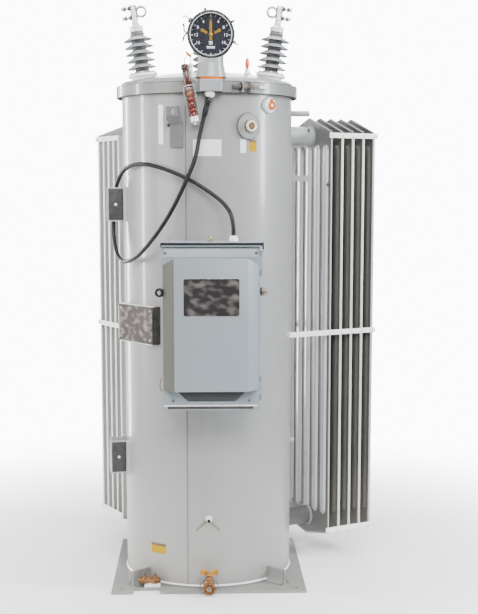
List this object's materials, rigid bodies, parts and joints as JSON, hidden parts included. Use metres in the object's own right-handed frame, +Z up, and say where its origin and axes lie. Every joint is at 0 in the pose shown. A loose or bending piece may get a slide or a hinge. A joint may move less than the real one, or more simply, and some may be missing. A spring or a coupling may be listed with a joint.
{
  "type": "single-phase step voltage regulator (tapped power transformer)",
  "caption": "Round oil tank on a square base plate with finned radiators, porcelain bushings, tap position dial and a hooded control cabinet.",
  "frame": {"origin": "on the tank axis at the underside of the base plate", "axes": "+Z up, -Y towards the front with the control cabinet, +X to the viewer's right"},
  "size_m": [1.3741, 1.5165, 2.6104],
  "materials": {
    "grey_paint": "satin light grey enamel",
    "porcelain": "light grey glaze",
    "bronze": "cast bronze, dulled",
    "terminal_metal": "tinned bronze clamp",
    "black_cable": "black rubber sheath",
    "black_paint": "black enamel",
    "glass": "clear window",
    "yellow": "yellow enamel",
    "orange_gasket": "orange gasket",
    "nameplate_metal": "dark anodised plate",
    "red_plastic": "red flag",
    "brown_glaze": "brown glaze",
    "zinc_steel": "zinc plated steel"
  },
  "bodies": {
    "tank": {"arrester": "brown_glaze", "arrester_bracket": "grey_paint", "base_gussets": "grey_paint", "base_plate": "grey_paint", "bushing_flanges": "grey_paint", "bushings": "porcelain", "cabinet_cap": "grey_paint", "cabinet_hinges": "zinc_steel", "cabinet_rails": "grey_paint", "cabinet_shell": "grey_paint", "cabinet_side_knob": "black_paint", "cable_glands": "zinc_steel", "cable_hangers": "grey_paint", "cable_plug": "black_cable", "control_cable": "black_cable", "cover_band": "grey_paint", "cover_band_bolt": "zinc_steel", "drain_valve": "bronze", "earth_boss": "bronze", "filler_boss": "grey_paint", "filler_plug": "bronze", "ground_connector": "bronze", "indicator_bezel": "black_paint", "indicator_dial": "black_paint", "indicator_glass": "glass", "indicator_housing": "grey_paint", "indicator_pedestal": "grey_paint", "junction_box": "grey_paint", "level_gauge": "grey_paint", "lifting_lugs": "grey_paint", "pedestal_gasket": "orange_gasket", "radiator_headers": "grey_paint", "radiator_left_fins": "grey_paint", "radiator_right_fins": "grey_paint", "radiator_straps": "grey_paint", "relief_flag": "red_plastic", "relief_valve": "grey_paint", "side_nameplate": "nameplate_metal", "side_pins": "grey_paint", "side_plate_bracket": "zinc_steel", "tank_cover": "grey_paint", "tank_floor": "grey_paint", "tank_wall": "grey_paint", "terminals": "terminal_metal"},
    "door": {"cabinet_door": "grey_paint", "door_nameplate": "nameplate_metal", "door_latch_ring": "black_paint"},
    "pointer": {"indicator_pointer": "yellow"},
    "valve_handle": {"drain_valve_handle": "bronze"}
  },
  "joints": [
    {"name": "cabinet_door_hinge", "type": "hinge", "parent": "tank", "child": "door", "pos_m": [0.2195, -0.625, 1.2105], "axis": [0, 0, 1], "range_deg": [0, 110]},
    {"name": "pointer_turn", "type": "hinge", "parent": "tank", "child": "pointer", "pos_m": [0.015, -0.385, 2.431], "axis": [0, 1, 0], "range_deg": [-135, 135]},
    {"name": "drain_valve_turn", "type": "hinge", "parent": "tank", "child": "valve_handle", "pos_m": [0, -0.447, 0.097], "axis": [0, 0, 1], "range_deg": [0, 90]}
  ]
}
